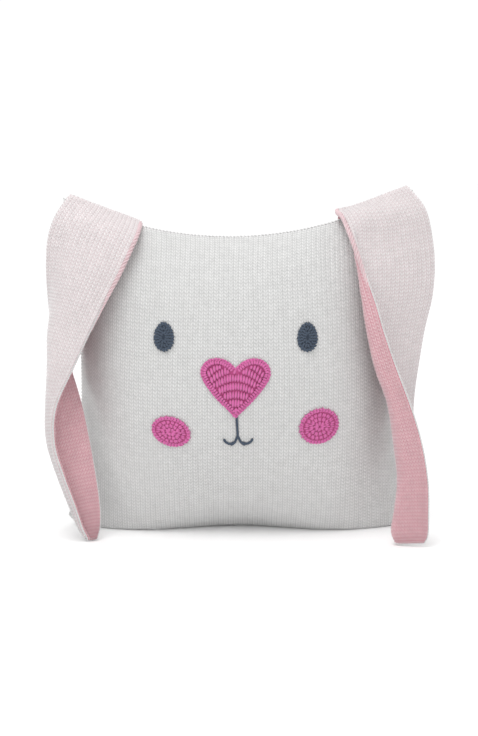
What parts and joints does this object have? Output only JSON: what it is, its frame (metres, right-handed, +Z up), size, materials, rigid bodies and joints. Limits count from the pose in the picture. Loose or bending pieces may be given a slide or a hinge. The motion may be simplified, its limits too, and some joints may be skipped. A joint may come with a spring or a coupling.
{
  "type": "stuffed bunny cushion",
  "caption": "Knitted square cushion with a bunny face, crocheted eyes, heart nose and cheeks, and two long lined lop ears hinged at the top corners.",
  "frame": {"origin": "middle of the flat base, on the surface the cushion stands on", "axes": "+X to the viewer's right, -Y towards the viewer on the face side, +Z up"},
  "size_m": [0.3877, 0.1476, 0.3495],
  "materials": {
    "white_knit": "matte knitted cotton yarn in stocking stitch",
    "pink_knit": "matte knitted cotton yarn, pale pink, seen on the ears' lining side",
    "magenta_crochet": "matte crocheted yarn, magenta pink",
    "slate_crochet": "matte crocheted yarn, slate blue-grey",
    "white_yarn": "twisted yarn",
    "magenta_yarn": "twisted yarn",
    "slate_yarn": "twisted yarn",
    "pad_case": "plain woven cotton lawn",
    "fibre": "loose polyester fibre"
  },
  "bodies": {
    "pillow": {"cover_back": "white_knit", "cover_front": "white_knit", "fibre_fill": "fibre", "insert_back": "pad_case", "insert_front": "pad_case", "insert_seam": "pad_case", "left_cheek": "magenta_crochet", "left_cheek_stitches": "magenta_yarn", "left_ear_root_stitches": "white_yarn", "left_eye": "slate_crochet", "left_eye_stitches": "slate_yarn", "mouth_left_stitch": "slate_yarn", "mouth_right_stitch": "slate_yarn", "nose_heart": "magenta_crochet", "nose_heart_stitches": "magenta_yarn", "philtrum_stitch": "slate_yarn", "right_cheek": "magenta_crochet", "right_cheek_stitches": "magenta_yarn", "right_ear_root_stitches": "white_yarn", "right_eye": "slate_crochet", "right_eye_stitches": "slate_yarn", "seam_bottom": "white_knit", "seam_left": "white_knit", "seam_right": "white_knit", "seam_top": "white_knit"},
    "left_ear_upper": {"left_ear_edge_seam_upper": "white_yarn", "left_ear_lining_upper": "pink_knit", "left_ear_outer_upper": "white_knit"},
    "left_ear_lower": {"left_ear_edge_seam_lower": "white_yarn", "left_ear_lining_lower": "pink_knit", "left_ear_outer_lower": "white_knit"},
    "right_ear_upper": {"right_ear_edge_seam_upper": "white_yarn", "right_ear_lining_upper": "pink_knit", "right_ear_outer_upper": "white_knit"},
    "right_ear_lower": {"right_ear_edge_seam_lower": "white_yarn", "right_ear_lining_lower": "pink_knit", "right_ear_outer_lower": "white_knit"}
  },
  "joints": [
    {"name": "left_ear_flop", "type": "hinge", "parent": "pillow", "child": "left_ear_upper", "pos_m": [-0.1325, 0, 0.3241], "axis": [-0.9456, 0, 0.3253], "range_deg": [0, 80]},
    {"name": "left_ear_curl", "type": "hinge", "parent": "left_ear_upper", "child": "left_ear_lower", "pos_m": [-0.175, -0.045, 0.19], "axis": [-1, 0, 0], "range_deg": [0, 90]},
    {"name": "right_ear_flop", "type": "hinge", "parent": "pillow", "child": "right_ear_upper", "pos_m": [0.1345, 0, 0.33094], "axis": [-0.9297, 0, -0.3682], "range_deg": [0, 80]},
    {"name": "right_ear_curl", "type": "hinge", "parent": "right_ear_upper", "child": "right_ear_lower", "pos_m": [0.165, -0.05, 0.19], "axis": [-1, 0, 0], "range_deg": [0, 90]}
  ]
}
